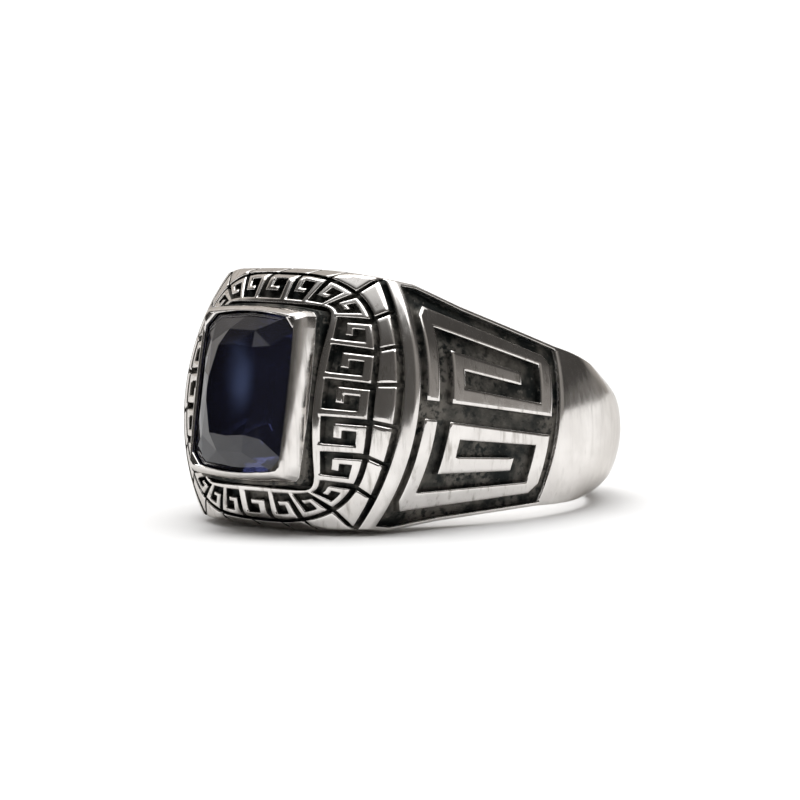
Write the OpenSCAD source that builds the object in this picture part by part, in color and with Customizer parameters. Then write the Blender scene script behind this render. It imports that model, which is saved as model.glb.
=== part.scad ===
// Class ring: a cast ring with a raised ornament band round a bezel-set stone, lying on its side.
// The ring is built with the finger along Z and the stone facing -Y, then tilted as it rests on a table:
// on the lower edge of its wide head and on the lower edge of its narrow back.

/* [Finger hole] */
// Diameter of the finger hole
finger_d = 19.8; // [17:0.1:22]

/* [Shank] */
// Thickness of the shank at its middle
shank_t = 1.9; // [1.6:0.1:2.4]
// Width of the shank at the back
back_w = 6.6; // [6:0.1:7.4]
// Radius of the shank's domed outer face, across its width
shank_dome_r = 6.5; // [6.3:0.1:8]
// How far behind the hole's middle the shank is fully domed
dome_start = 6; // [5:0.1:7]
// Width of the shank where the side panels end
waist_w = 9.8; // [9.6:0.1:11]
// How far in front of the hole's middle the side panels end
panel_end = 1.2; // [0.6:0.1:2.5]

/* [Head] */
// Length of the head along the finger
head_l = 16; // [15.4:0.1:17]
// Width of the head across the finger, over its two rails
head_w = 19.8; // [19:0.1:21]
// Height of the domed top above the finger hole
dome_rise = 6.4; // [6:0.1:7]
// Radius of the dome across the finger
dome_rx = 13.7; // [13:0.1:15]
// Height of the head's outer edge above the finger hole
edge_rise = 2.5; // [2:0.1:3]
// Width of the steep edge at the ends of the head, along the finger
edge_w = 0.7; // [0.5:0.05:0.9]
// Height of the steep edge at the ends of the head
edge_h = 2.2; // [1.9:0.05:2.5]
// Radius of the bowed ends of the head, seen from the front
end_bow_r = 51; // [45:1:80]

/* [Tiles and rails] */
// Depth of the recesses on the head
head_relief = 0.45; // [0.3:0.05:0.6]
// Width of the rail on each side of the head
rail_w = 0.52; // [0.4:0.02:0.7]
// Groove between a rail and the tiles
rail_gap = 0.36; // [0.25:0.01:0.45]
// Width of the tiles beside the rails
tile_w = 1; // [0.8:0.05:1.2]
// Width of the tiles at the ends of the head
tile_end_w = 0.42; // [0.3:0.01:0.5]
// Gap between two tiles
tile_gap = 0.22; // [0.15:0.01:0.35]

/* [Ornament band] */
// Groove between the band and the tiles, beside the rails
band_gap = 0.28; // [0.2:0.01:0.4]
// Groove between the band and the tiles, at the ends of the head
band_end_gap = 0.16; // [0.12:0.01:0.25]
// Groove between the band and the bezel collar
collar_gap = 0.2; // [0.15:0.01:0.3]

/* [Bezel collar] */
// Height of the collar's rim above the dome
collar_rise = 0.6; // [0.4:0.05:0.8]
// Slope of the collar's outer walls, as width lost at each side
collar_draft = 0.25; // [0.15:0.05:0.35]
// Metal outside the stone, at the foot of the collar
collar_wall = 0.4; // [0.35:0.05:0.6]
// Overlap of the collar's rim over the stone's edge
rim_lip = 0.18; // [0.1:0.02:0.25]
// Height of the rim above the stone's upright edge
lip_t = 0.45; // [0.35:0.05:0.6]
// Height of the bevel round the rim
rim_bevel = 0.35; // [0.2:0.05:0.5]
// Cut of the collar's corners
collar_cut = 0.25; // [0.2:0.05:0.4]
// Width of the step round the collar's foot
step_w = 0.15; // [0.1:0.05:0.25]
// Depth of that step below the top of the dome
step_drop = 0.95; // [0.8:0.05:1.1]

/* [Stone] */
// Width of the stone across the finger
stone_w = 7.85; // [7:0.05:8.2]
// Length of the stone along the finger
stone_l = 9.6; // [9:0.05:10]
// How far the stone's short ends bow out
stone_bow = 0.25; // [0.1:0.05:0.4]
// How far the stone's long sides bow out
side_bow = 0.05; // [0.03:0.01:0.1]
// Cut of the stone's corners
stone_cut = 0.75; // [0.5:0.05:1]
// Height of the stone's table above the collar's rim
table_rise = 0.95; // [0.6:0.05:1.1]
// Width of the table
table_w = 4; // [3.4:0.1:4.4]
// Length of the table
table_l = 5.3; // [4.6:0.1:6]
// Length of the long cuts at the table's corners, along the finger
table_cut_l = 1.95; // [1.2:0.05:2.1]
// Width of those cuts, across the finger
table_cut_w = 0.55; // [0.3:0.05:0.8]
// Height of the stone's upright edge
girdle_h = 0.2; // [0.1:0.05:0.3]
// Depth of the stone under its edge
pavilion_h = 2.6; // [2:0.1:3]
// Gap between the stone and its seat
seat_gap = 0.04; // [0.03:0.01:0.08]

/* [Side panels] */
// Depth of the side panels
panel_relief = 0.45; // [0.3:0.05:0.6]
// Width of the rims along the panels
panel_rim = 0.24; // [0.2:0.01:0.4]
// Gap between the fret and the edges of its panel
fret_gap = 0.55; // [0.4:0.05:0.8]
// Half of the gap between the two halves of the fret
fret_split = 0.55; // [0.4:0.05:0.8]
// Height of the rails at the sides of the head
rail_h = 0.35; // [0.25:0.05:0.5]

/* [Hidden] */
$fn = 96;

// Radii about the middle of the finger hole, and heights above it towards the stone
hole_r = finger_d / 2;
shank_r = hole_r + shank_t;
dome_top = hole_r + dome_rise;
edge_top = hole_r + edge_rise;
rim_top = dome_top + collar_rise;
table_top = rim_top + table_rise;
girdle_top = rim_top - lip_t;
reach = 30;

// Radius of the dome along the finger, so that it meets the steep edge's top
end_run = head_l / 2 - edge_w;
end_drop = dome_top - edge_top - edge_h;
end_r = (end_run ^ 2 + end_drop ^ 2) / (2 * end_drop);

// The flat of each side runs from the rail's edge to where it touches the round shank
rail_x = head_w / 2;
rail_top = dome_top - dome_rx + sqrt(dome_rx ^ 2 - rail_x ^ 2);
flat_lean = atan2(rail_top, rail_x) - acos(shank_r / norm([rail_x, rail_top]));

// Half widths along the finger: back, waist, knee of the shoulder and head
back_z = back_w / 2;
waist_z = waist_w / 2;
head_z = head_l / 2;
knee_place = 0.57;
knee_widening = 0.52;
knee_top = (edge_top + panel_end) * knee_place;
knee_z = waist_z + (head_z - waist_z) * knee_widening;

// Half widths and ends of the side panels, and of the fret in them
panel_widening = 0.68;
fret_corner_room = 0.4;
panel_z = knee_z + (head_z - knee_z) * panel_widening - panel_rim;
fret_front = rail_top - rail_h - fret_gap;
fret_back = panel_end + fret_gap;
fret_z = panel_z - fret_gap - fret_corner_room;
fret_back_z = waist_z - panel_rim - fret_gap;

// The ring lies on the head's edge and on the edge of its back
back_y = shank_r - shank_dome_r + sqrt(shank_dome_r ^ 2 - back_z ^ 2);
// Where the shoulders end in the domed shank, and the radius by which they fall back to it
fall_z = waist_z + (back_z - waist_z) * (dome_start + panel_end) / (back_y + panel_end);
fall_edge = shank_r - shank_dome_r + sqrt(shank_dome_r ^ 2 - fall_z ^ 2);
fall_depth = shank_r - sqrt(fall_edge ^ 2 - dome_start ^ 2);
fall_r = (fall_depth ^ 2 + dome_start ^ 2) / (2 * fall_depth);
rest_tilt = atan((head_z - back_z) / (edge_top + back_y));
rest_height = head_z * cos(rest_tilt) - edge_top * sin(rest_tilt);
front_y = table_top * cos(rest_tilt) + table_l / 2 * sin(rest_tilt);
rear_y = (shank_r - shank_dome_r) * cos(rest_tilt) + shank_dome_r;

// The collar's ends are a little thinner than its sides, and it reaches down into the head
collar_end_less = 0.1;
collar_lean = 0.12;
collar_foot = dome_top - 2.5;

// Half sizes of the rings of ornament on the head, seen from the front
tile_in = [rail_x - rail_w - rail_gap - tile_w, head_z - tile_end_w];
band_out = tile_in - [band_gap, band_end_gap];
collar_x = stone_w / 2 + collar_wall;
collar_z = stone_l / 2 + collar_wall - collar_end_less;
band_in = [collar_x + step_w + collar_gap, collar_z + stone_bow / 2 + step_w + collar_gap];

// The cuts for the recesses start well inside the metal
head_cut_start = edge_top - 3;
side_cut_start = 2;

// The stone's rows of facets: heights as shares of crown and pavilion, widths, and corner cuts
crown_share = 0.68;
crown_width = 0.62;
crown_swell = 0.1;
pavilion_share = 0.55;
pavilion_width = 0.7;
pavilion_cut = stone_cut * 0.6;
keel = [0.25, stone_l / 6];
keel_cut = 0.12;

// How square each ring of ornament is: 2 is an ellipse, more is squarer
ring_power = 2.95;
band_power = 14;

// Lines between the units in one quarter of the head: angle at the tiles, angle at the collar
SECTORS = [[8, 14], [22.6, 35], [36, 47], [50, 55], [64.4, 64.5], [80.5, 77]];
UNITS = 4 * len(SECTORS);

// One unit of the band's running key, as shares of the unit's width and of the band's height
KEY = [[-0.02, 0], [0.5, 0], [1.02, 0], [1.02, 0.17], [0.62, 0.17], [0.25, 0.17], [0.25, 0.83],
       [0.45, 0.83], [0.65, 0.83], [0.65, 0.58], [0.42, 0.58], [0.42, 0.42], [0.86, 0.42],
       [0.86, 1], [0.45, 1], [0.04, 1], [0.04, 0.17], [-0.02, 0.17]];

// One half of a side panel's fret, as shares from the head to the back and from the middle outwards
FRET = [[0, 0], [0, 0.88], [0.05, 1], [0.95, 1], [1, 0.85], [1, 0], [0.2, 0], [0.2, 0.6], [0.75, 0.6],
        [0.75, 0.4], [0.3, 0.4], [0.3, 0.2], [0.9, 0.2], [0.9, 0.8], [0.1, 0.8], [0.1, 0]];

function mix(a, b, s) = a + (b - a) * s;

// Height of the dome above the finger hole, and the X of the head's side edge
function dome_r(z) = dome_rx - end_r + sqrt(end_r ^ 2 - z ^ 2);
function dome_height(x, z) = dome_top - dome_rx + sqrt(dome_r(z) ^ 2 - x ^ 2);
function edge_near(x, z) = (sqrt(shank_r ^ 2 - z ^ 2) - dome_height(x, z) * sin(flat_lean)) / cos(flat_lean);
function panel_front(z) = dome_height(edge_x(z), z) - rail_h;
function edge_x(z) = edge_near(edge_near(edge_near(edge_near(rail_x, z), z), z), z);

// A point of a squared ring, by its angle seen from the middle
function squared(half, power, angle) =
    let (r = (abs(cos(angle) / half[0]) ^ power + abs(sin(angle) / half[1]) ^ power) ^ (-1 / power))
    r * [cos(angle), sin(angle)];

// The angle of a line between two units, counted round all four quarters
function line_angle(k, column) =
    let (last = len(SECTORS) - 1, quarter = floor(k / (last + 1)), i = k - quarter * (last + 1))
    quarter * 90 + (quarter % 2 == 0 ? SECTORS[i][column] : 90 - SECTORS[last - i][column]);

// A point of the ornament band, by its shares across a unit and up the band
function band_point(k, s, h) =
    mix(squared(band_in, band_power, mix(line_angle(k, 1), line_angle(k + 1, 1), s)),
        squared(band_out, ring_power, mix(line_angle(k, 0), line_angle(k + 1, 0), s)), h);

// Turns an outline seen from the front into a block that reaches forward from the finger hole
module from_front(start, end) {
    rotate([90, 0, 0]) translate([0, 0, start]) linear_extrude(end - start) children();
}

// Turns an outline of heights and finger positions, seen from the side, into a block along X
module from_side(start, end) {
    rotate([90, 0, 90]) translate([0, 0, start]) linear_extrude(end - start) children();
}

// The dome of the head, or the floor under its ornament at a given depth
module dome(depth) {
    translate([0, dome_rx - dome_top, 0]) rotate_extrude()
        intersection() {
            translate([dome_rx - end_r, 0]) circle(end_r - depth);
            translate([0, -reach]) square([reach, 2 * reach]);
        }
}

// Round shank and flat right side, crowned across the width
module right_form(depth) {
    sphere(shank_r - depth);
    rotate([90, 0, -flat_lean]) cylinder(r = shank_r - depth, h = reach);
}

// The shank's domed section, and the broad shoulders that fall back to it along a curve
module shank_section() {
    rotate_extrude()
        intersection() {
            translate([shank_r - shank_dome_r, 0]) circle(shank_dome_r);
            translate([0, -reach]) square([reach, 2 * reach]);
        }
    translate([shank_r - fall_r, 0, -reach]) cylinder(r = fall_r, h = 2 * reach);
    translate([-reach, -2 * reach, -reach]) cube([3 * reach, 2 * reach, 2 * reach]);
}

// Width of the ring from the back to the head, seen from the side
module taper() {
    polygon([[reach, -back_z], [back_y, -back_z], [-panel_end, -waist_z], [-knee_top, -knee_z],
             [-edge_top, -head_z], [-reach, -head_z], [-reach, head_z], [-edge_top, head_z],
             [-knee_top, knee_z], [-panel_end, waist_z], [back_y, back_z], [reach, back_z]]);
}

// The steep edge at both ends of the head, or the floor under its tiles
module end_bevel(depth) {
    slope = norm([edge_w, edge_h]);
    inset = [depth * edge_w / slope, -depth * edge_h / slope];
    foot = [-edge_top, head_z] + inset;
    top = foot - foot[1] / edge_w * [edge_h, edge_w];
    low = foot + reach * [edge_h, edge_w];
    polygon([low, top, [low[0], -low[1]]]);
}

// The bowed ends of the head, seen from the front
module bowed_ends() {
    intersection() {
        translate([0, head_z - end_bow_r]) circle(end_bow_r);
        translate([0, end_bow_r - head_z]) circle(end_bow_r);
    }
}

// The right half of the ring's outer form, before anything is cut into it
module right_half() {
    intersection() {
        right_form(0);
        union() {
            dome(0);
            translate([-reach, 0, -reach]) cube([2 * reach, reach, 2 * reach]);
        }
        from_side(0, reach) taper();
        from_side(0, reach) end_bevel(0);
        from_front(-reach, reach) bowed_ends();
        shank_section();
    }
}

// The head's face inside its rails, less a gap: straight past its ends, bowed as the rails are
module inside_rails(gap) {
    steps = 8;
    inset = rail_w + gap;
    right = [for (i = [-steps:steps]) [edge_x(head_z * i / steps) - inset, head_z * i / steps]];
    left = [for (i = [steps:-1:-steps]) [inset - edge_x(head_z * i / steps), head_z * i / steps]];
    end_x = edge_x(head_z) - inset;
    polygon(concat(right, [[end_x, reach], [-end_x, reach]], left, [[-end_x, -reach], [end_x, -reach]]));
}

// The wedge between two lines that one tile stands in
module tile_wedge(k) {
    steps = 3;
    margin = asin(tile_gap / 2 / tile_in[0]);
    a = line_angle(k, 0) + margin;
    b = line_angle(k + 1, 0) - margin;
    polygon(concat([reach * [cos(a), sin(a)], reach * [cos(b), sin(b)]],
                   [for (i = [0:steps]) squared(tile_in, ring_power, mix(b, a, i / steps))]));
}

module key_unit(k) {
    polygon([for (p = KEY) band_point(k, p[0], p[1])]);
}

// What is cut from the head down to its floor, round the raised band and tiles
module head_recess() {
    difference() {
        from_front(head_cut_start, rim_top)
            difference() {
                inside_rails(0);
                intersection() {
                    inside_rails(rail_gap);
                    for (k = [0:UNITS - 1]) tile_wedge(k);
                }
                for (k = [0:UNITS - 1]) key_unit(k);
            }
        intersection() {
            dome(head_relief);
            from_side(-reach, reach) end_bevel(head_relief);
        }
    }
}

// Cuts one side panel down to its floor, round the raised fret
module right_panel_recess() {
    difference() {
        from_side(side_cut_start, reach)
            difference() {
                panel();
                fret();
                mirror([0, 1]) fret();
            }
        right_form(panel_relief);
    }
}

// Outline of a side panel: bowed behind the rail, straight at the shank
module panel() {
    steps = 8;
    polygon(concat([for (i = [-steps:steps]) [-panel_front(panel_z * i / steps), panel_z * i / steps]],
                   [[-knee_top, knee_z - panel_rim], [-panel_end, waist_z - panel_rim],
                    [-panel_end, panel_rim - waist_z], [-knee_top, panel_rim - knee_z]]));
}

// One half of the raised fret of a side panel, which narrows as the panel does
module fret() {
    polygon([for (p = FRET)
             let (outer = mix(fret_z, fret_back_z, p[0]))
             [-mix(fret_front, fret_back, p[0]), mix(fret_split, outer, p[1])]]);
}

// Twelve points round the stone or its collar: cut corners and, at each side, a middle point
function outline(half, cut, bow) =
    let (x = half[0], z = half[1], a = x - cut[0], b = z - cut[1])
    [[x, -b], [x + side_bow, 0], [x, b], [a, z], [0, z + bow], [-a, z],
     [-x, b], [-x - side_bow, 0], [-x, -b], [-a, -z], [0, -z - bow], [a, -z]];
function even_cut(cut) = [cut, cut];

// The same ring of points counted from its second point, or moved half a step round
function turned(ring) = [for (i = [0:len(ring) - 1]) ring[(i + 1) % len(ring)]];
function half_step(ring) = (ring + turned(ring)) / 2;

// A closed solid through rings of twelve points, each at its own height above the finger hole
module loft(rings, heights) {
    n = len(rings[0]);
    last = len(rings) - 1;
    points = [for (k = [0:last]) for (p = rings[k]) [p[0], -heights[k], p[1]]];
    sides = [for (k = [0:last - 1]) for (i = [0:n - 1]) let (j = (i + 1) % n)
             each [[k * n + i, k * n + j, (k + 1) * n + i], [(k + 1) * n + i, k * n + j, (k + 1) * n + j]]];
    polyhedron(points, concat([[for (i = [n - 1:-1:0]) i]], sides, [[for (i = [0:n - 1]) last * n + i]]));
}

// The stone, from its table to its keel, grown by a gap for its seat
module stone_form(gap) {
    g = [gap, gap];
    full = [stone_w, stone_l] / 2 + g;
    table = [table_w, table_l] / 2 + g;
    middle = mix(full, table, crown_width) + [crown_swell, crown_swell];
    deep = full * pavilion_width;
    long_cut = [table_cut_w, table_cut_l];
    girdle = turned(outline(full, even_cut(stone_cut), stone_bow));
    loft([outline(table, long_cut, stone_bow / 2),
          half_step(outline(middle, mix(even_cut(stone_cut), long_cut, crown_width), stone_bow)),
          girdle, girdle,
          turned(outline(deep, even_cut(pavilion_cut), stone_bow / 2)),
          turned(outline(keel + g, even_cut(keel_cut), 0))],
         [table_top + gap, mix(girdle_top, table_top, crown_share) + gap, girdle_top + gap,
          girdle_top - girdle_h - gap, girdle_top - girdle_h - pavilion_h * pavilion_share - gap,
          girdle_top - girdle_h - pavilion_h - gap]);
}

// The bezel collar: a rectangular frame with leaning walls and a bevel round its rim
module collar() {
    foot = [collar_x, collar_z];
    rim = foot - [collar_draft, collar_draft];
    lean = [collar_lean, collar_lean];
    step = foot + [step_w, step_w];
    cut = even_cut(collar_cut);
    loft([outline(rim, cut, stone_bow), outline(foot - lean, cut, stone_bow), outline(foot, cut, stone_bow)],
         [rim_top, rim_top - rim_bevel, collar_foot]);
    from_front(collar_foot, dome_top - step_drop) polygon(outline(step, cut, stone_bow));
}

// The opening in the collar's rim that the stone's top stands in
module window() {
    half = [stone_w, stone_l] / 2 - [rim_lip, rim_lip];
    from_front(girdle_top, table_top) polygon(outline(half, even_cut(stone_cut), stone_bow));
}

module ring_body() {
    color("silver")
        difference() {
            union() {
                difference() {
                    union() {
                        right_half();
                        mirror([1, 0, 0]) right_half();
                    }
                    head_recess();
                    right_panel_recess();
                    mirror([1, 0, 0]) right_panel_recess();
                }
                collar();
            }
            window();
            stone_form(seat_gap);
            translate([0, 0, -reach / 2]) cylinder(d = finger_d, h = reach);
        }
}

module stone() {
    color("midnightblue") stone_form(0);
}

// Lays the ring on its side, with its middle over the origin and its lowest edges at the floor
module at_rest() {
    translate([0, (front_y - rear_y) / 2, rest_height]) rotate([-rest_tilt, 0, 0]) children();
}

at_rest() ring_body();
at_rest() stone();
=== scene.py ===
"""A cast silver class ring with a dark blue stone, lying on its side on a pale table."""
import math

import bmesh
import bpy
from mathutils import Matrix, Vector


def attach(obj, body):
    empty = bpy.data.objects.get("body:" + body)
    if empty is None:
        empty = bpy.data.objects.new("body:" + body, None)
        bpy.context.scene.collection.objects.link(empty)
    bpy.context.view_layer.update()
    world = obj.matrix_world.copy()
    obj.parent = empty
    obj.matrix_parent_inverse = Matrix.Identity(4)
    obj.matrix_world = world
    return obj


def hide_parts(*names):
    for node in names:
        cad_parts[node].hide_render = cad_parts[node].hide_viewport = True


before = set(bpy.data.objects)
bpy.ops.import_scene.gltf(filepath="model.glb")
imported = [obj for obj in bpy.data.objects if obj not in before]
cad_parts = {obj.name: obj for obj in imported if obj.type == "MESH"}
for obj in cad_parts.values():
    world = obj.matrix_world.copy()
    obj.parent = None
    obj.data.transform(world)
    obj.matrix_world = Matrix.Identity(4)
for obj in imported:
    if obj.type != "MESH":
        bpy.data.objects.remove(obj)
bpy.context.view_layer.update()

# Table and light
# A pale tabletop that runs far back and sweeps up a little at its end, so that the picture's ground is
# even. Three soft suns light it from high up, and round it stand cloths, a screen and a white ceiling, as
# polished silver shows only what stands round it.
def put(name, data):
    """A new object in the scene, at the origin."""
    new = bpy.data.objects.new(name, data)
    bpy.context.scene.collection.objects.link(new)
    return new


table_r, sweep_r, sweep_h = 2.4, 2.62, 0.075
table_mesh = bpy.data.meshes.new("table")
table_points, table_faces = [(0, 0, 0)], []
table_rings = [(0.5, 0), (table_r, 0), (table_r + 0.07, 0.01), (table_r + 0.14, 0.035), (sweep_r, sweep_h)]
around = 96
for radius, height in table_rings:
    for i in range(around):
        angle = 2 * math.pi * i / around
        table_points.append((radius * math.cos(angle), radius * math.sin(angle), height))
for i in range(around):
    j = (i + 1) % around
    table_faces.append((0, 1 + i, 1 + j))
    for ring in range(len(table_rings) - 1):
        low, high = 1 + ring * around, 1 + (ring + 1) * around
        table_faces.append((low + i, high + i, high + j, low + j))
table_mesh.from_pydata(table_points, [], table_faces)
table = put("table", table_mesh)
table_paint = bpy.data.materials.new("white_table")
table_paint.use_nodes = True
paint = table_paint.node_tree.nodes["Principled BSDF"]
paint.inputs["Base Color"].default_value = (0.86, 0.86, 0.86, 1)
paint.inputs["Roughness"].default_value = 0.9
paint.inputs["Specular IOR Level"].default_value = 0.1
table_mesh.materials.append(table_paint)
for face in table_mesh.polygons:
    face.use_smooth = True

world = bpy.data.worlds.new("studio")
bpy.context.scene.world = world
world.use_nodes = True
sky = world.node_tree


def node(tree, kind, values=None, **settings):
    """A shader or geometry node with its settings and its fixed inputs."""
    new = tree.nodes.new(kind)
    for key, value in settings.items():
        setattr(new, key, value)
    for key, value in (values or {}).items():
        new.inputs[key].default_value = value
    return new


def blend(tree, share, a, b):
    """A colour mix whose two colours are plain values or sockets."""
    new = node(tree, "ShaderNodeMix", data_type="RGBA")
    tree.links.new(share, new.inputs["Factor"])
    for key, value in ((6, a), (7, b)):
        if isinstance(value, tuple):
            new.inputs[key].default_value = value
        else:
            tree.links.new(value, new.inputs[key])
    return new.outputs[2]


def sums(tree, operation, *values, limit=False):
    """One step of arithmetic on plain values or sockets."""
    new = node(tree, "ShaderNodeMath", operation=operation, use_clamp=limit)
    for key, value in enumerate(values):
        if isinstance(value, (int, float)):
            new.inputs[key].default_value = value
        else:
            tree.links.new(value, new.inputs[key])
    return new.outputs[0]


def grade(tree, value, low, high, out_low=0.0, out_high=1.0):
    """A smooth ramp of a value between two limits."""
    limits = {"From Min": low, "From Max": high, "To Min": out_low, "To Max": out_high}
    new = node(tree, "ShaderNodeMapRange", limits, interpolation_type="SMOOTHSTEP")
    tree.links.new(value, new.inputs["Value"])
    return new.outputs["Result"]


def sky_levels(value, stops, warm=(1, 1, 1)):
    """Grey levels by place along a value from 0 to 1, with a tint."""
    ramp = node(sky, "ShaderNodeValToRGB")
    sky.links.new(value, ramp.inputs["Fac"])
    first, last = stops[0], stops[-1]
    for element, (at, grey) in zip(ramp.color_ramp.elements, (first, last)):
        element.position = at
        element.color = [grey * w for w in warm] + [1]
    for at, grey in stops[1:-1]:
        ramp.color_ramp.elements.new(at).color = [grey * w for w in warm] + [1]
    return ramp.outputs["Color"]


def by_degrees(stops):
    """Places round the studio, from -180 to 180 degrees, as shares of a full turn."""
    return [(degrees / 360 + 0.5, grey) for degrees, grey in stops]


direction = node(sky, "ShaderNodeTexCoord")
parts = node(sky, "ShaderNodeSeparateXYZ")
sky.links.new(direction.outputs["Generated"], parts.inputs[0])
turn = sums(sky, "ARCTAN2", parts.outputs["X"], sums(sky, "MULTIPLY", parts.outputs["Y"], -1))
turn = sums(sky, "MULTIPLY_ADD", turn, 0.5 / math.pi, 0.5)
rise = sums(sky, "MULTIPLY", sums(sky, "ARCSINE", parts.outputs["Z"]), 2 / math.pi)
# Low down, cloths stand round the ring: dark in front and at the sides, pale at the left. Under their hem
# at the right is a low grey screen. Over them all is a white ceiling.
warm_grey = (1, 0.95, 0.9)
cloths = sky_levels(turn, by_degrees([
    (-180, 0.07), (-175, 0.08), (-163, 0.55), (-145, 0.7), (-92, 0.85), (-78, 0.3), (-66, 0.06), (-50, 0.04),
    (0, 0.08), (60, 0.1), (95, 0.3), (122, 0.3), (130, 0.07), (180, 0.07)]), warm_grey)
screen = sky_levels(turn, by_degrees([
    (-180, 0.25), (-172, 0.3), (-163, 0.5), (-145, 0.7), (-92, 0.85), (120, 0.1), (131, 0.1), (133, 0.13),
    (170, 0.2), (180, 0.3)]), warm_grey)
ceiling = sky_levels(rise, [(0.0, 0.2), (0.4, 0.2), (0.5, 0.35), (0.58, 0.62), (0.68, 0.9), (1.0, 1.1)])
screen_edge, screen_far_edge = (130 / 360 + 0.5, 134 / 360 + 0.5), (0.04, 0.08)
hem, ceiling_edge = (0.09, 0.11), (0.42, 0.7)
right_side = sums(sky, "ADD", grade(sky, turn, *screen_edge),
                  sums(sky, "SUBTRACT", 1, grade(sky, turn, *screen_far_edge)))
under_hem = sums(sky, "MULTIPLY", sums(sky, "SUBTRACT", 1, grade(sky, rise, *hem)), right_side)
low_part = blend(sky, under_hem, cloths, screen)
studio = blend(sky, grade(sky, rise, *ceiling_edge), low_part, ceiling)
sky.links.new(studio, sky.nodes["Background"].inputs["Color"])
sky.nodes["Background"].inputs["Strength"].default_value = 1.0
for name, azimuth, height, strength, spread in [
    ("sun_left", -76, 70, 1.0, 38), ("sun_right", 95, 70, 0.9, 50), ("sun_back", 180, 76, 1.0, 70),
]:
    light = bpy.data.lights.new(name, "SUN")
    light.energy = strength
    light.angle = math.radians(spread)
    lamp = put(name, light)
    a, h = math.radians(azimuth), math.radians(height)
    towards = Vector((math.sin(a) * math.cos(h), -math.cos(a) * math.cos(h), math.sin(h)))
    lamp.rotation_euler = towards.to_track_quat("Z", "Y").to_euler()
bpy.context.scene.view_settings.view_transform = "Standard"

# Shank and shoulders
# The body of the casting: a round shank that widens to the head, with flat shoulders and domed head. Its
# outer face is smooth and polished, except where the side panels and the head's floor are sunk into it.
hole_r, shank_r, back_z, waist_z, panel_end = 9.9, 11.8, 3.3, 4.9, 1.2
shank_dome_r, dome_angle = 6.5, math.radians(38)
dome_top, dome_rx, edge_top, head_z, edge_w, edge_h = 16.3, 13.7, 12.4, 8.0, 0.7, 2.2
rail_x, rail_w, rail_h, rail_gap, bow_r = 9.9, 0.52, 0.35, 0.36, 51.0
head_relief, panel_relief, panel_rim = 0.45, 0.45, 0.24
table_top, table_l = 17.85, 5.3
back_d = shank_dome_r - shank_r - math.sqrt(shank_dome_r ** 2 - back_z ** 2)
tilt = math.atan((head_z - back_z) / (edge_top - back_d))
rest_height = head_z * math.cos(tilt) - edge_top * math.sin(tilt)
front = table_top * math.cos(tilt) + table_l / 2 * math.sin(tilt)
rear = (shank_r - shank_dome_r) * math.cos(tilt) + shank_dome_r
end_run, end_drop = head_z - edge_w, dome_top - edge_top - edge_h
end_r = (end_run ** 2 + end_drop ** 2) / (2 * end_drop)
rail_top = dome_top - dome_rx + math.sqrt(dome_rx ** 2 - rail_x ** 2)
lean = math.atan2(rail_top, rail_x) - math.acos(shank_r / math.hypot(rail_x, rail_top))
knee_d = (edge_top + panel_end) * 0.57
knee_z = waist_z + (head_z - waist_z) * 0.52
# The half width by height, from the back to the head, and what wear has taken off the corners and edges.
TAPER = [(back_d, back_z), (-7.5, 3.5), (panel_end, waist_z), (knee_d, knee_z), (edge_top, head_z)]
worn_from_x, worn_to_x, corner_wear = 7.2, 10.2, 0.32
worn_from, edge_wear, wear_full_d, shy = 0.6, 0.42, 5, 0.006
# A pocket in the head's floor for the stone, and the rounding at the hole's lip.
pocket_x, pocket_z, pocket_d = 3.75, 4.6, 13.3
lip_round, rim_round, floor_rim_round = 0.28, 0.1, 0.02
back_end, back_columns, panel_columns, floor_columns = 3.0, 56, 48, 30
wall_foot, floor_start = 0.09, 0.1
# How the wall of a recess goes down: how far over, and the share of the depth.
WALL = [(-0.02, 0.05), (0.0, 0.2), (0.015, 0.6), (0.035, 0.95)]
WALL_BACK = [(-over, share) for over, share in reversed(WALL)]


def lay(x, d, z):
    """A point of the upright ring, in mm: across, out from the hole towards the stone, and along the
    finger. It comes back in metres, on the table as the ring lies."""
    y = -d * math.cos(tilt) + z * math.sin(tilt) + (front - rear) / 2
    up = d * math.sin(tilt) + z * math.cos(tilt) + rest_height
    return Vector((x, y, up)) / 1000


def mix(a, b, share):
    return a + (b - a) * share


def half_width(d):
    """Half of the ring's width along the finger, at a height above the hole."""
    if d <= TAPER[0][0]:
        return TAPER[0][1]
    for (d0, z0), (d1, z1) in zip(TAPER, TAPER[1:]):
        if d <= d1:
            return mix(z0, z1, (d - d0) / (d1 - d0))
    return head_z


def bowed(x):
    """Where the head ends along the finger: bowed, and worn a little rounder at its corners."""
    worn = max(min(abs(x), worn_to_x) - worn_from_x, 0) / (worn_to_x - worn_from_x)
    return math.sqrt(bow_r ** 2 - x * x) - bow_r + head_z - corner_wear * worn ** 2


def dome_d(x, z, depth=0.0):
    """Height of the head's dome, or of a floor sunk under it."""
    r = dome_rx - end_r + math.sqrt((end_r - depth) ** 2 - z * z)
    return dome_top - dome_rx + math.sqrt(max(r * r - x * x, 0.01))


def head_d(x, z, depth=0.0):
    """Height of the head: its dome, or the steep edge at its ends."""
    slope = math.hypot(edge_w, edge_h)
    foot_d, foot_z = edge_top - depth * edge_w / slope, head_z - depth * edge_h / slope
    return min(dome_d(x, z, depth), foot_d + (foot_z - abs(z)) * edge_h / edge_w)


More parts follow.
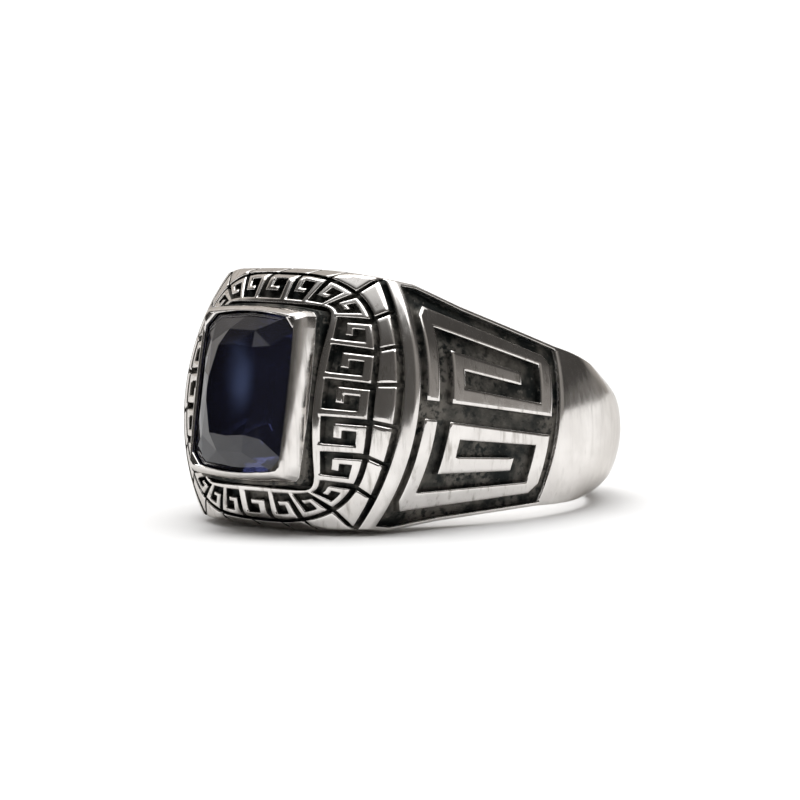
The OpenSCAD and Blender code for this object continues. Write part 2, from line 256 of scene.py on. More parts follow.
def shank_reach(angle, z):
    """How far the shank reaches from the hole's middle. Its face is domed across at the back, and the
    broad shoulders pass into that little by little. Wear has rounded its edges."""
    broad = math.sqrt(shank_r ** 2 - z * z)
    domed = shank_r - shank_dome_r + math.sqrt(shank_dome_r ** 2 - z * z)
    d = -domed * math.sin(angle)
    past = min(angle / dome_angle, 1)
    worn = max(abs(z) / half_width(d) - worn_from, 0) / (1 - worn_from)
    worn_off = edge_wear * worn ** 2 * min(-d / wear_full_d, 1)
    return mix(broad, domed - shy, past * past * (3 - 2 * past)) - worn_off


def side_x(d, z, depth=0.0):
    """How far out the shank and the flat shoulder lie."""
    r = shank_r - depth
    flat = (math.sqrt(r * r - z * z) - d * math.sin(lean)) / math.cos(lean)
    if d * math.cos(lean) > flat * math.sin(lean):
        return flat
    if d >= 0:
        return math.sqrt(max(r * r - z * z - d * d, 0))
    angle = 0
    for _ in range(6):
        angle = math.asin(-d / shank_reach(angle, z))
    return shank_reach(angle, z) * math.cos(angle)


def edge_x(z):
    """Where a shoulder meets the dome."""
    x = rail_x
    for _ in range(5):
        x = side_x(dome_d(x, z), z)
    return x


def settle(first, rule):
    """The value that a rule comes to when it is used again and again."""
    z = first
    for _ in range(6):
        z = rule(z)
    return z


def shoulder_column(d, sunk):
    """The outer face at one height: across the width, with its rims and, between them, the panel's floor."""
    end = settle(half_width(d), lambda z: min(half_width(d), bowed(side_x(d, z))))

    def at(z, across):
        return (side_x(d, z, panel_relief * sunk * across), d, z)
    return end, at, sunk


def rail_column(inward, sunk):
    """The top of a rail, and the wall on its inner side."""
    end = settle(7.5, lambda z: bowed(edge_x(z) - inward))

    def at(z, across):
        x = edge_x(z) - inward
        return (x, head_d(x, z, head_relief * sunk), z)
    return end, at, -sunk


def bend(a, corner, b, share):
    """A soft curve from a to b that a corner draws towards itself."""
    return a * (1 - share) ** 2 + corner * 2 * share * (1 - share) + b * share ** 2


def corner_column(share, inward=0.1):
    """The rounded edge between a shoulder and its rail."""
    side_end, side_at, _ = shoulder_column(rail_top - inward, 0)
    top_end, top_at, _ = rail_column(inward, 0)

    def at(z, across):
        a, b = Vector(side_at(z, 0)), Vector(top_at(z, 0))
        corner = Vector((edge_x(z), dome_d(edge_x(z), z), z))
        return tuple(bend(a, corner, b, share))
    return mix(side_end, top_end, share), at, 0


def floor_end(x):
    """Where the head's floor meets its end face."""
    return settle(7.7, lambda z: (z + min(bowed(x), half_width(head_d(x, z, head_relief)))) / 2)


def floor_column(share):
    """The head's floor, with a pocket under the stone."""
    def wide(z):
        return share * (edge_x(z) - rail_w - floor_start)
    end = settle(7.7, lambda z: floor_end(wide(z)))

    def at(z, across):
        x = wide(z)
        d = head_d(x, z, head_relief)
        near = max((abs(x) - pocket_x) / 0.5, (abs(z) - pocket_z) / 0.45)
        return (x, mix(pocket_d, d, min(max(near, 0), 1)), z)
    return end, at, -1


def shank_column(share):
    """The round back of the shank, from its middle to just behind the shoulders."""
    angle = mix(math.pi / 2, math.asin(back_end / shank_r), share)

    def at(z, across):
        r = shank_reach(angle, z)
        return (r * math.cos(angle), -r * math.sin(angle), z)
    end = settle(back_z, lambda z: half_width(at(z, 0)[1]))
    return end, at, 0


columns = [shank_column(i / back_columns) for i in range(back_columns + 1)]
columns += [shoulder_column(d, 0) for d in (-2.3, -1.7, -1.1, -0.5, 0, 0.4, 0.8, 1.14)]
columns += [shoulder_column(panel_end + step, s) for step, s in WALL]
panel_front = rail_top - rail_h
for i in range(panel_columns + 1):
    d = mix(panel_end + wall_foot, panel_front - wall_foot, i / panel_columns)
    columns.append(shoulder_column(d, 1))
columns += [shoulder_column(panel_front + step, s) for step, s in WALL_BACK + [(0.06, 0), (0.14, 0)]]
columns += [corner_column(i / 5) for i in range(6)]
columns += [rail_column(rail_w + step, s) for step, s in [(-0.3, 0), (-0.18, 0), (-0.06, 0)] + WALL]
columns += [floor_column(i / floor_columns) for i in range(floor_columns, -1, -1)]

RIM_ROWS = [(0.09, 0), (panel_rim - 0.05, 0)]
RIM_ROWS += [(panel_rim + over, s) for over, s in WALL] + [(panel_rim + wall_foot, 1)]
INNER_ROWS = 24


def loop_of(column):
    """One closed line round the metal: outer face, end face, hole and the other end face."""
    end, at, sunk = column
    half = [(end - off, s) for off, s in RIM_ROWS]
    inner = end - RIM_ROWS[-1][0]
    half += [(inner * (1 - i / INNER_ROWS), 1) for i in range(1, INNER_ROWS)]
    rows = half + [(0, 1)] + [(-z, s) for z, s in reversed(half)]
    dark = [abs(sunk) * (s if sunk > 0 else 1) for _, s in rows]
    outer = [Vector(at(z, s)) for z, s in rows]
    edge = Vector(at(end, 0))
    reach = math.hypot(edge.x, edge.y)
    towards = edge.to_2d() if sunk >= 0 else Vector((edge.x, head_d(edge.x, edge.z)))
    towards = towards.normalized() * hole_r
    points, black = list(outer), list(dark)

    def face(share):
        x, d = mix(edge.x, towards.x, share), mix(edge.y, towards.y, share)
        z = edge.z if share == 0 else min(bowed(x), half_width(d))
        return Vector((x, d, z))
    wide = reach - hole_r
    rim, soft = (floor_rim_round if sunk == -1 else rim_round) / wide, lip_round / wide
    side = [bend(outer[0], edge, face(rim), share) for share in (0.25, 0.5, 0.75)]
    side += [face(mix(rim, 1 - soft, i / 7)) for i in range(8)]
    lip = face(1)
    inside = Vector((lip.x, lip.y, lip.z - lip_round))
    side += [bend(face(1 - soft), lip, inside, share) for share in (0.25, 0.5, 0.75)]
    wall = [Vector((inside.x, inside.y, inside.z * (1 - i / 5))) for i in range(5)]

    def far(p):
        return Vector((p.x, p.y, -p.z))
    points += [far(p) for p in side + wall] + [Vector((inside.x, inside.y, 0))] + wall[::-1] + side[::-1]
    black += [0] * (len(points) - len(black))
    first = [0.5 * dark[0] if i < 2 and sunk > -1 else 0 for i in range(3)]
    black[len(outer):len(outer) + 3] = first
    black[-3:] = first[::-1]
    return points, black


loops = [loop_of(column) for column in columns]
loops += [([Vector((-p.x, p.y, p.z)) for p in points], black) for points, black in loops[-2:0:-1]]


def skin(name, loops):
    """A closed mesh over loops of points, with the blackening of each point kept on it."""
    mesh = bpy.data.meshes.new(name)
    bm = bmesh.new()
    black = bm.verts.layers.float.new("blackening")
    rings = []
    for points, values in loops:
        ring = []
        for p, value in zip(points, values):
            vertex = bm.verts.new(lay(*p))
            vertex[black] = value
            ring.append(vertex)
        rings.append(ring)
    count, around = len(rings), len(rings[0])
    for i in range(count):
        a, b = rings[i], rings[(i + 1) % count]
        for k in range(around):
            bm.faces.new((a[k], a[(k + 1) % around], b[(k + 1) % around], b[k]))
    bmesh.ops.remove_doubles(bm, verts=bm.verts, dist=1e-7)
    bmesh.ops.recalc_face_normals(bm, faces=bm.faces)
    for f in bm.faces:
        f.smooth = True
    bm.to_mesh(mesh)
    bm.free()
    return put(name, mesh)


def worked_silver():
    """Cast silver: polished where it was buffed, black and mottled where the buff didn't reach."""
    group = bpy.data.node_groups.new("worked_silver", "ShaderNodeTree")
    for name, value in [("Blackening", 0.0), ("Streaks", 1.0), ("Haze", 0.0)]:
        group.interface.new_socket(name, in_out="INPUT", socket_type="NodeSocketFloat").default_value = value
    for name, kind in (("Color", "Color"), ("Roughness", "Float"), ("Metallic", "Float"), ("Height", "Float")):
        group.interface.new_socket(name, in_out="OUTPUT", socket_type="NodeSocket" + kind)
    inputs, outputs = node(group, "NodeGroupInput").outputs, node(group, "NodeGroupOutput").inputs
    place = node(group, "ShaderNodeTexCoord")
    drawn = node(group, "ShaderNodeMapping", {"Scale": (1.0, 1.0, 0.12)})
    group.links.new(place.outputs["Object"], drawn.inputs["Vector"])

    def noise(source, scale, detail, rough=0.55):
        new = node(group, "ShaderNodeTexNoise", {"Scale": scale, "Detail": detail, "Roughness": rough})
        group.links.new(source, new.inputs["Vector"])
        return new.outputs["Fac"]

    def plus(a, b):
        return sums(group, "ADD", a, b)

    def times(a, b, **settings):
        return sums(group, "MULTIPLY", a, b, **settings)

    def less(a, b):
        return sums(group, "SUBTRACT", a, b)
    at, lengthwise = place.outputs["Object"], drawn.outputs["Vector"]
    patch, cloud = noise(at, 190, 4), noise(at, 520, 4)
    speck, fine = noise(at, 2600, 3, 0.6), noise(at, 9000, 2)
    streak, brush = noise(lengthwise, 2600, 3, 0.6), noise(lengthwise, 9000, 2)
    pits = node(group, "ShaderNodeTexVoronoi", {"Scale": 3600.0, "Randomness": 1.0})
    group.links.new(at, pits.inputs["Vector"])

    # Colour: bright silver with dull scores, and over it the blackening, its patches, pits and specks.
    greys, score = ((0.70, 0.675, 0.65, 1), (0.80, 0.775, 0.75, 1)), (0.42, 0.395, 0.365, 1)
    blacks = (0.010, 0.013, 0.013, 1), (0.13, 0.122, 0.108, 1)
    worn, dust = (0.18, 0.168, 0.15, 1), (0.18, 0.168, 0.148, 1)
    dark = grade(group, plus(inputs["Blackening"], times(less(speck, 0.5), 0.5)), 0.22, 0.62)
    bright = blend(group, grade(group, cloud, 0.35, 0.7), *greys)
    scored = times(grade(group, streak, 0.5, 0.78), inputs["Streaks"], limit=True)
    stained = blend(group, scored, bright, score)
    black = blend(group, grade(group, cloud, 0.42, 0.72), *blacks)
    greyed = times(grade(group, patch, 0.48, 0.66), grade(group, speck, 0.36, 0.56))
    black = blend(group, greyed, black, worn)
    black = blend(group, grade(group, speck, 0.58, 0.78), black, dust)
    group.links.new(blend(group, dark, stained, black), outputs["Color"])

    # Gloss: sharp where it was buffed, hazier along the streaks, and dull in the blackening.
    shine = plus(plus(0.1, times(grade(group, streak, 0.4, 0.8), 0.14)), times(inputs["Haze"], 0.2))
    dull = grade(group, speck, 0.3, 0.7, 0.36, 0.62)
    rough = node(group, "ShaderNodeMix", data_type="FLOAT")
    for key, value in ((0, dark), (2, shine), (3, dull)):
        group.links.new(value, rough.inputs[key])
    group.links.new(rough.outputs[0], outputs["Roughness"])
    group.links.new(grade(group, dark, 0.0, 1.0, 1.0, 0.7), outputs["Metallic"])

    # Relief: fine scores on the bright metal, and the pitted cast skin in the blackening.
    grain = times(times(plus(streak, times(brush, 0.5)), inputs["Streaks"]), 0.1)
    pitted = plus(times(grade(group, pits.outputs["Distance"], 0.0, 0.35), 1.6), times(fine, 0.8))
    pitted = plus(pitted, times(cloud, 2.0))
    group.links.new(plus(times(grain, less(1.0, dark)), times(pitted, dark)), outputs["Height"])
    return group


silver_group, relief_h = worked_silver(), 0.000012


def silver(name, streaks, haze):
    """A silver finish: its blackening comes from the piece, its streaks and haze from how it was buffed."""
    paint = bpy.data.materials.new(name)
    paint.use_nodes = True
    tree = paint.node_tree
    gloss = tree.nodes["Principled BSDF"]
    look = node(tree, "ShaderNodeGroup", node_tree=silver_group)
    gloss.inputs["Specular Tint"].default_value = (0.7, 0.685, 0.665, 1)
    look.inputs["Streaks"].default_value = streaks
    look.inputs["Haze"].default_value = haze
    black = node(tree, "ShaderNodeAttribute", attribute_name="blackening")
    tree.links.new(black.outputs["Fac"], look.inputs["Blackening"])
    bump = node(tree, "ShaderNodeBump", {"Strength": 1.0, "Distance": relief_h})
    for given, taken in (("Color", "Base Color"), ("Roughness", "Roughness"), ("Metallic", "Metallic")):
        tree.links.new(look.outputs[given], gloss.inputs[taken])
    tree.links.new(look.outputs["Height"], bump.inputs["Height"])
    tree.links.new(bump.outputs["Normal"], gloss.inputs["Normal"])
    return paint


body = skin("shank_and_shoulders", loops)
body.data.materials.append(silver("polished_silver", 0.25, 0.15))
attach(body, "root")
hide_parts("ring_body")

# Side panels' frets
# On each shoulder a squared fret stands up from the blackened floor of the panel. It is part of the same
# casting: straight walls, and a broad top that the buff has softened at its edges.
FRET = [(0, 0), (0, 0.88), (0.05, 1), (0.95, 1), (1, 0.85), (1, 0), (0.2, 0), (0.2, 0.6), (0.75, 0.6),
        (0.75, 0.4), (0.3, 0.4), (0.3, 0.2), (0.9, 0.2), (0.9, 0.8), (0.1, 0.8), (0.1, 0)]
fret_gap, fret_split = 0.55, 0.55
panel_z = knee_z + (head_z - knee_z) * 0.68 - panel_rim
fret_front, fret_back = panel_front - fret_gap, panel_end + fret_gap
fret_z, fret_back_z = panel_z - fret_gap - 0.4, waist_z - panel_rim - fret_gap
FRET_PROFILE = [(-0.05, -0.15), (-0.02, 0.05), (0.0, 0.3), (0.0, 0.78), (0.025, 0.88), (0.07, 0.95),
                (0.13, 0.99), (0.19, 1.0), (0.22, 1.0)]
fret_cell, buffed_from, buffed_over = 0.45, 0.79, 0.1


def inset(ring, by):
    """A ring of plan points moved inwards, each by the same distance from its two edges."""
    out = []
    for i, p in enumerate(ring):
        before, after = (p - ring[i - 1]).normalized(), (ring[(i + 1) % len(ring)] - p).normalized()
        n1, n2 = Vector((-before.y, before.x)), Vector((-after.y, after.x))
        out.append(p + (n1 + n2) * by / (1 + n1.dot(n2)))
    return out


def raised(name, outline, profile, scale, cell, place, ends=()):
    """A raised shape on a floor: a plan outline, stepped in along a profile of (inset, height) pairs, cut
    into small cells and put in place. ends opens it at two cross cuts, where the next one joins."""
    ring = [Vector((p[0] * scale[0], p[1] * scale[1])) for p in outline]
    if sum(ring[i - 1].x * p.y - p.x * ring[i - 1].y for i, p in enumerate(ring)) < 0:
        ring.reverse()
    bm = bmesh.new()
    rings = []
    for step, height in profile:
        rings.append([bm.verts.new((p.x, p.y, height)) for p in inset(ring, step)])
    for low, high in zip(rings, rings[1:]):
        for i in range(len(low)):
            j = (i + 1) % len(low)
            bm.faces.new((low[i], low[j], high[j], high[i]))
    caps = [bm.faces.new(rings[-1]), bm.faces.new(list(reversed(rings[0])))]
    for cap in caps:
        cap.normal_update()
    bmesh.ops.triangulate(bm, faces=caps)

    def cut_across(plane, normal, clear):
        geometry = bm.verts[:] + bm.edges[:] + bm.faces[:]
        bmesh.ops.bisect_plane(bm, geom=geometry, dist=1e-5, plane_co=plane, plane_no=normal,
                               clear_outer=clear)
    for normal in (Vector((1, 0, 0)), Vector((0, 1, 0))):
        values = [v.co.dot(normal) for v in bm.verts]
        at = math.ceil(min(values) / cell) * cell
        while at < max(values):
            cut_across(normal * at, normal, False)
            at += cell
    for at, side in zip(ends, (-1, 1)):
        cut_across((at * scale[0], 0, 0), (side, 0, 0), True)
    black = bm.verts.layers.float.new("blackening")
    for v in bm.verts:
        v[black] = 1 - min(max((v.co.z - buffed_from) / buffed_over, 0), 1)
        v.co = place(v.co.x / scale[0], v.co.y / scale[1], v.co.z)
    if not ends:
        bmesh.ops.recalc_face_normals(bm, faces=bm.faces)
    for f in bm.faces:
        f.smooth = True
    mesh = bpy.data.meshes.new(name)
    bm.to_mesh(mesh)
    bm.free()
    return put(name, mesh)


def fret_point(p):
    """A point of the fret's pattern, drawn out over the upper half of the panel."""
    outer = mix(fret_z, fret_back_z, p[0])
    return (mix(fret_front, fret_back, p[0]), mix(fret_split, outer, p[1]))


fret_silver = silver("buffed_silver", 1.0, 0.0)
for side_name, side in (("right", 1), ("left", -1)):
    for half_name, half in (("upper", 1), ("lower", -1)):
        def on_panel(d, z, height, side=side, half=half):
            return lay(side * side_x(d, z * half, panel_relief * (1 - height)), d, z * half)
        fret = raised("fret_" + side_name + "_" + half_name, [fret_point(p) for p in FRET],
                      FRET_PROFILE, (1, 1), fret_cell, on_panel)
        fret.data.materials.append(fret_silver)
        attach(fret, "root")
        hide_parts("ring_body")

# Head's key band and border tiles
# Round the stone runs a raised key pattern, and outside it a row of cushion tiles. Both were carved in the
# model that the ring was cast from, so each unit is bent to its own place on the dome.
stone_w, stone_l, stone_bow, stone_cut = 7.85, 9.6, 0.25, 0.75
collar_wall, step_w, collar_gap = 0.4, 0.15, 0.2
collar_x, collar_z = stone_w / 2 + collar_wall, stone_l / 2 + collar_wall - 0.1
groove = rail_w + rail_gap
tile_w, tile_end_w, tile_gap, band_gap, band_end_gap = 1.0, 0.42, 0.22, 0.28, 0.16
tile_in = (rail_x - groove - tile_w, head_z - tile_end_w)
band_out = (tile_in[0] - band_gap, tile_in[1] - band_end_gap)
band_in = (collar_x + step_w + collar_gap, collar_z + stone_bow / 2 + step_w + collar_gap)
ring_power, band_power, past_head = 2.95, 14.0, 14.0
# The lines between the units in one quarter of the head: their angles at the tiles and at the collar.
SECTORS = [(8, 14), (22.6, 35), (36, 47), (50, 55), (64.4, 64.5), (80.5, 77)]
UNITS = 4 * len(SECTORS)
key_size, key_cell, tile_size, tile_cell = (1.95, 2.45), 0.3, (2.1, 1.0), 0.25
KEY = [(-0.12, 0), (1.12, 0), (1.12, 0.17), (0.25, 0.17), (0.25, 0.83), (0.65, 0.83), (0.65, 0.58),
       (0.42, 0.58), (0.42, 0.42), (0.86, 0.42), (0.86, 1), (0.04, 1), (0.04, 0.17), (-0.12, 0.17)]
UNIT_WALLS = [(-0.03, -0.15), (-0.01, 0.1), (0.0, 0.4)]
KEY_PROFILE = UNIT_WALLS + [(0.0, 0.78), (0.018, 0.88), (0.05, 0.95), (0.09, 0.99), (0.13, 1.0)]
TILE_PROFILE = UNIT_WALLS + [(0.0, 0.82), (0.02, 0.9), (0.07, 0.96), (0.15, 0.99), (0.25, 1.0), (0.3, 1.0)]
STEPS, ROWS = 10, 8
end_polish = 0.15


def squared(half, power, angle):
    """A point of a rounded rectangle, at an angle round it."""
    r = (abs(math.cos(angle) / half[0]) ** power + abs(math.sin(angle) / half[1]) ** power) ** (-1 / power)
    return (r * math.cos(angle), r * math.sin(angle))


def line_angle(k, column):
    """The angle of the line before unit k, counted round all four quarters."""
    quarter, i = divmod(k, len(SECTORS))
    angle = SECTORS[i][column] if quarter % 2 == 0 else 90 - SECTORS[len(SECTORS) - 1 - i][column]
    return quarter * 90 + angle


def along(k, share, column):
    """The angle at a share of the way across unit k."""
    return math.radians(mix(line_angle(k, column), line_angle(k + 1, column), share))


def band_plan(k, share, out):
    """From the collar out to the groove before the tiles."""
    a = squared(band_in, band_power, along(k, share, 1))
    b = squared(band_out, ring_power, along(k, share, 0))
    return (mix(a[0], b[0], out), mix(a[1], b[1], out))


def tile_plan(k, share, out):
    """From the tiles' inner line straight out to the groove at the rail, or to the end of the head."""
    angle = along(k, share, 0)
    inner = squared(tile_in, ring_power, angle)
    start = math.hypot(*inner)
    low, high = start, past_head
    for _ in range(24):
        r = (low + high) / 2
        x, z = abs(r * math.cos(angle)), abs(r * math.sin(angle))
        if z > bowed(x) or x > edge_x(min(z, 7.9)) - groove:
            high = r
        else:
            low = r
    r = mix(start, low, out)
    return (r * math.cos(angle), r * math.sin(angle))


def chart(name, plan, depth):
    """A net of points over the units' places, on the head's top or on its floor."""
    points = []
    for i in range(UNITS * STEPS + 2):
        k, step = divmod(i % (UNITS * STEPS), STEPS)
        for j in range(ROWS + 1):
            x, z = plan(k, step / STEPS, j / ROWS)
            if depth:
                z = math.copysign(min(abs(z), floor_end(x) - floor_rim_round), z)
            points.append(lay(x, head_d(x, z, depth), z))
    mesh = bpy.data.meshes.new(name)
    mesh.from_pydata(points, [], [])
    return put(name, mesh)


def units_on_chart():
    """Geometry nodes that repeat a unit and bend each copy to its place between two nets of points."""
    tree = bpy.data.node_groups.new("units_on_chart", "GeometryNodeTree")
    for name, kind in [("Unit", "Object"), ("Top Net", "Object"), ("Floor Net", "Object"), ("Units", "Int"),
                       ("Steps", "Int"), ("Rows", "Int"), ("Finish", "Material")]:
        tree.interface.new_socket(name, in_out="INPUT", socket_type="NodeSocket" + kind)
    tree.interface.new_socket("Geometry", in_out="OUTPUT", socket_type="NodeSocketGeometry")
    given, result = node(tree, "NodeGroupInput"), node(tree, "NodeGroupOutput")
    link = tree.links.new
    line = node(tree, "GeometryNodeMeshLine", {"Offset": (1, 0, 0)}, mode="OFFSET")
    link(given.outputs["Units"], line.inputs["Count"])
    repeat = node(tree, "GeometryNodeInstanceOnPoints")
    link(line.outputs[0], repeat.inputs["Points"])
    sources = {}
    for name in ("Unit", "Top Net", "Floor Net"):
        sources[name] = node(tree, "GeometryNodeObjectInfo")
        link(given.outputs[name], sources[name].inputs["Object"])
    link(sources["Unit"].outputs["Geometry"], repeat.inputs["Instance"])
    real = node(tree, "GeometryNodeRealizeInstances")
    link(repeat.outputs[0], real.inputs[0])
    where = node(tree, "GeometryNodeInputPosition")
    parts = node(tree, "ShaderNodeSeparateXYZ")
    link(where.outputs[0], parts.inputs[0])
    column = sums(tree, "MULTIPLY", parts.outputs["X"], given.outputs["Steps"])
    row = sums(tree, "MULTIPLY", parts.outputs["Y"], given.outputs["Rows"])
    column_low = sums(tree, "FLOOR", column)
    row_low = sums(tree, "MINIMUM", sums(tree, "MAXIMUM", sums(tree, "FLOOR", row), 0),
                   sums(tree, "SUBTRACT", given.outputs["Rows"], 1))
    column_share = sums(tree, "SUBTRACT", column, column_low)
    row_share = sums(tree, "SUBTRACT", row, row_low)
    width = sums(tree, "ADD", given.outputs["Rows"], 1)
    first = sums(tree, "ADD", sums(tree, "MULTIPLY", column_low, width), row_low)

    def between(share, a, b):
        new = node(tree, "ShaderNodeMix", data_type="VECTOR", clamp_factor=False)
        link(share, new.inputs[0])
        link(a, new.inputs[4])
        link(b, new.inputs[5])
        return new.outputs[1]

    def on_net(name):
        corners = []
        for step in (0, 1):
            for over in (0, 1):
                at = sums(tree, "ADD", sums(tree, "ADD", first, sums(tree, "MULTIPLY", width, step)), over)
                take = node(tree, "GeometryNodeSampleIndex", data_type="FLOAT_VECTOR", clamp=True)
                link(sources[name].outputs["Geometry"], take.inputs["Geometry"])
                link(where.outputs[0], take.inputs["Value"])
                link(at, take.inputs["Index"])
                corners.append(take.outputs[0])
        return between(column_share, between(row_share, *corners[:2]), between(row_share, *corners[2:]))
    bent = between(parts.outputs["Z"], on_net("Floor Net"), on_net("Top Net"))
    place = node(tree, "GeometryNodeSetPosition")
    link(real.outputs[0], place.inputs["Geometry"])
    link(bent, place.inputs["Position"])
    weld = node(tree, "GeometryNodeMergeByDistance", {"Distance": 1e-6})
    link(place.outputs[0], weld.inputs["Geometry"])
    finish = node(tree, "GeometryNodeSetMaterial")
    link(weld.outputs[0], finish.inputs["Geometry"])
    link(given.outputs["Finish"], finish.inputs["Material"])
    link(finish.outputs[0], result.inputs[0])
    return tree


wrap = units_on_chart()


def wrapped(name, unit, plan, finish):
    """Runs the tree for one kind of unit and keeps the result as a plain mesh."""
    top, floor = chart(name + "_top", plan, 0), chart(name + "_floor", plan, head_relief)
    holder = put(name, bpy.data.meshes.new(name))
    modifier = holder.modifiers.new("units", "NODES")
    modifier.node_group = wrap
    named = {"Unit": unit, "Top Net": top, "Floor Net": floor, "Units": UNITS, "Steps": STEPS, "Rows": ROWS,
             "Finish": finish}
    for item in wrap.interface.items_tree:
        if item.in_out == "INPUT":
            modifier[item.identifier] = named[item.name]
    bpy.context.view_layer.update()
    mesh = bpy.data.meshes.new_from_object(holder.evaluated_get(bpy.context.evaluated_depsgraph_get()))
    holder.modifiers.remove(modifier)
    bm = bmesh.new()
    bm.from_mesh(mesh)
    black = bm.verts.layers.float["blackening"]
    for v in bm.verts:
        y, up = v.co.y * 1000 - (front - rear) / 2, v.co.z * 1000 - rest_height
        d, z = up * math.sin(tilt) - y * math.cos(tilt), up * math.cos(tilt) + y * math.sin(tilt)
        if abs(z) > min(bowed(v.co.x * 1000), half_width(d)) - end_polish:
            v[black] = 0
    bmesh.ops.recalc_face_normals(bm, faces=bm.faces)
    bm.to_mesh(mesh)
    bm.free()
    holder.data = mesh
    for old in (unit, top, floor):
        bpy.data.objects.remove(old)
    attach(holder, "root")
    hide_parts("ring_body")


def as_given(x, y, z):
    return Vector((x, y, z))


key_unit = raised("key_unit", KEY, KEY_PROFILE, key_size, key_cell, as_given, ends=(0, 1))
wrapped("key_band", key_unit, band_plan, fret_silver)
tile_side = tile_gap / 2 / tile_size[0]
TILE = [(tile_side, 0), (1 - tile_side, 0), (1 - tile_side, 1), (tile_side, 1)]
tile_unit = raised("tile_unit", TILE, TILE_PROFILE, tile_size, tile_cell, as_given)
wrapped("border_tiles", tile_unit, tile_plan, fret_silver)

# Bezel collar
# A rectangular collar stands on a small step and holds the stone under its rim. It is cast with the head.
# Its walls lean in a little, its rim is rounded over the stone, and both are burnished bright.
collar_draft, rim_lip, seat_gap = 0.25, 0.18, 0.04
collar_cut, collar_bow, collar_tuck, side_bow = 0.25, 0.17, 0.07, 0.05
rounding = (0.12, 0.3, 0.5, 0.7, 0.88)


def soft_outline(x, z, cut, side, end=stone_bow):
    """Points round the stone or its collar, with slightly rounded corners. Its sides and ends bow out."""
    ring = []
    for i in range(15):
        t = mix(-1, 1, i / 14)
        ring.append((x + side * (1 - t * t), t * (z - cut)))
    ring += [(mix(x, x - cut, s), mix(z - cut, z, s)) for s in rounding]
    for i in range(15):
        t = mix(1, -1, i / 14)
        ring.append((t * (x - cut), z + end * (1 - t * t)))
    ring += [(mix(cut - x, -x, s), mix(z, z - cut, s)) for s in rounding]
    return ring + [(-px, -pz) for px, pz in ring]


# Half width, half length, corner cut and side bow of the lines round the collar.
step = (collar_x + step_w, collar_z + step_w, collar_cut, side_bow)
foot = (collar_x - collar_tuck, collar_z, collar_cut, collar_bow)
rim = (foot[0] - collar_draft, collar_z - collar_draft, collar_cut, collar_bow)
window = (stone_w / 2 - rim_lip, stone_l / 2 - rim_lip, stone_cut, side_bow)
seat = (stone_w / 2 + seat_gap, stone_l / 2 + seat_gap, stone_cut, side_bow)
# Each row is a line, how far it is moved out, its height and its blackening: step, wall, rim and seat.
COLLAR = [
    (step, 0, 13.8, 1), (step, 0, 15.2, 1), (step, -0.02, 15.32, 0.9), (step, -0.06, 15.35, 0.9),
    (foot, 0.03, 15.36, 1), (foot, 0, 15.42, 0.8), (foot, -0.01, 15.55, 0.1), (foot, -0.06, 16.1, 0),
    (foot, -0.09, 16.3, 0), (foot, -0.13, 16.45, 0), (foot, -0.18, 16.58, 0),
    (rim, 0, 16.7, 0), (rim, -0.06, 16.79, 0), (rim, -0.12, 16.86, 0), (rim, -0.18, 16.895, 0),
    (rim, -0.22, 16.9, 0),
    (window, 0.08, 16.895, 0), (window, 0.03, 16.87, 0), (window, 0, 16.82, 0), (window, -0.01, 16.75, 0.1),
    (window, 0, 16.66, 0.5), (window, 0.03, 16.6, 1),
    (seat, 0, 16.5, 1), (seat, 0, 16.2, 1), (seat, -0.4, 15.3, 1), (seat, -0.4, 13.8, 1),
]
collar_loops = []
for (half_x, half_z, cut, side), moved, d, black in COLLAR:
    ring = soft_outline(half_x + moved, half_z + moved, cut, side)
    collar_loops.append(([Vector((x, d, z)) for x, z in ring], [black] * len(ring)))
collar = skin("bezel_collar", collar_loops)
collar.data.materials.append(silver("burnished_silver", 0.5, 0.05))
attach(collar, "root")
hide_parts("ring_body")

# Stone
# A dark blue stone, ten by eight, cut with a table, two rows of crown facets and a deep pavilion. It lies
# in the collar with its edge under the rim.
gem = bpy.data.materials.new("dark_blue_stone")
gem.use_nodes = True
tree = gem.node_tree
glass = tree.nodes["Principled BSDF"]
place = node(tree, "ShaderNodeTexCoord").outputs["Object"]


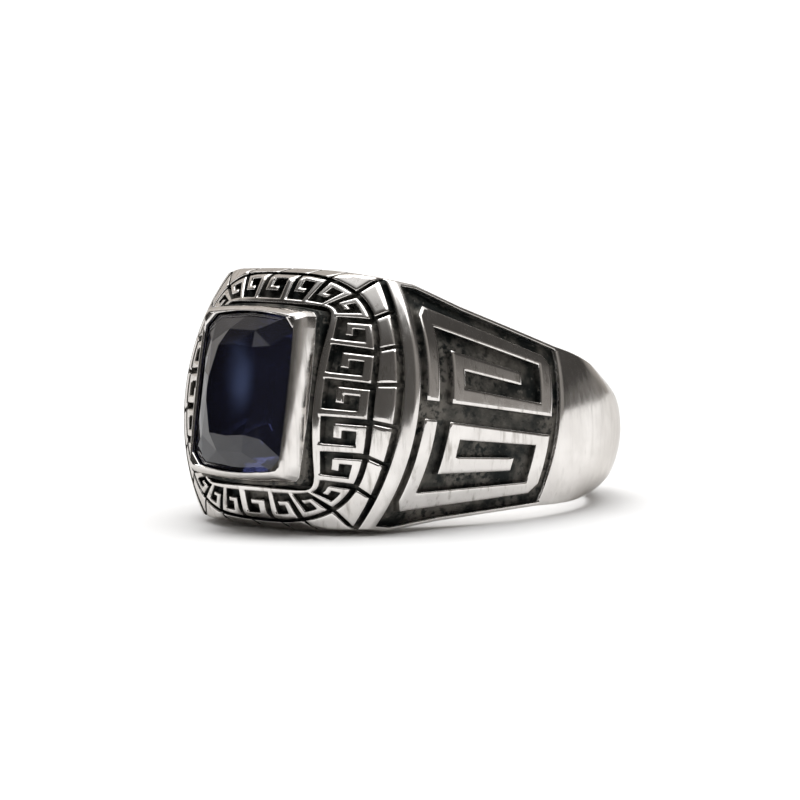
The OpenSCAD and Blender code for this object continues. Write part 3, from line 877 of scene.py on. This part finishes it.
def gem_noise(scale, detail):
    new = node(tree, "ShaderNodeTexNoise", {"Scale": scale, "Detail": detail})
    tree.links.new(place, new.inputs["Vector"])
    return new.outputs["Fac"]


def gem_vector(operation, source, value=None):
    new = node(tree, "ShaderNodeVectorMath", {1: value} if value else None, operation=operation)
    tree.links.new(source, new.inputs[0])
    return new.outputs[1 if operation == "LENGTH" else 0]


# A painted glow: a paler blue patch under the middle of the table, which stands in for light inside the stone,
# longer along the finger and ragged at its edge.
painted_glow_middle, painted_glow_stretch, painted_glow_size = lay(0.9, 17.5, 0.5), (0.75, 0.5, 0.45), (0.0001, 0.0014)
drift, wear = gem_noise(180.0, 2.0), gem_noise(1500.0, 3.0)
deep, shallow, painted_glow_blue = (0.012, 0.014, 0.04, 1), (0.03, 0.035, 0.1, 1), (0.27, 0.36, 0.75, 1)
dark_blue = blend(tree, grade(tree, drift, 0.35, 0.7), deep, shallow)
off_painted_glow = gem_vector("MULTIPLY", gem_vector("SUBTRACT", place, tuple(painted_glow_middle)), painted_glow_stretch)
painted_glow_reach = sums(tree, "MULTIPLY", gem_vector("LENGTH", off_painted_glow), grade(tree, drift, 0.3, 0.7, 0.7, 1.5))
# Mixes the painted glow into the dark blue, strongest at its middle.
blue = blend(tree, grade(tree, painted_glow_reach, *painted_glow_size), painted_glow_blue, dark_blue)
tree.links.new(blue, glass.inputs["Base Color"])
tree.links.new(grade(tree, wear, 0.5, 0.8, 0.015, 0.06), glass.inputs["Roughness"])
glass.inputs["Transmission Weight"].default_value = 0.85
glass.inputs["IOR"].default_value = 1.62
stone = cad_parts["stone"]
for slot in stone.material_slots:
    slot.material = gem

# Camera
# A long lens, low over the table and well to the ring's right, as in the photograph. Its directions are
# given in the ring's own lines, because the photograph shows the ring and not the table.
middle, distance, off_right, off_up = lay(0, 0, 0), 0.32, 0.00205, 0.00114
right = (lay(0.71934, -0.68655, 0.10586) - middle).normalized()
back = (lay(0.69270, 0.72036, -0.03520) - middle).normalized()
up = back.cross(right)
aim = middle - right * off_right + up * off_up
lens = bpy.data.cameras.new("camera")
lens.lens = 229.8
lens.clip_start = 0.01
camera = put("camera", lens)
camera.location = aim + back * distance
camera.rotation_euler = Matrix((right, up, back)).transposed().to_euler()
bpy.context.scene.camera = camera
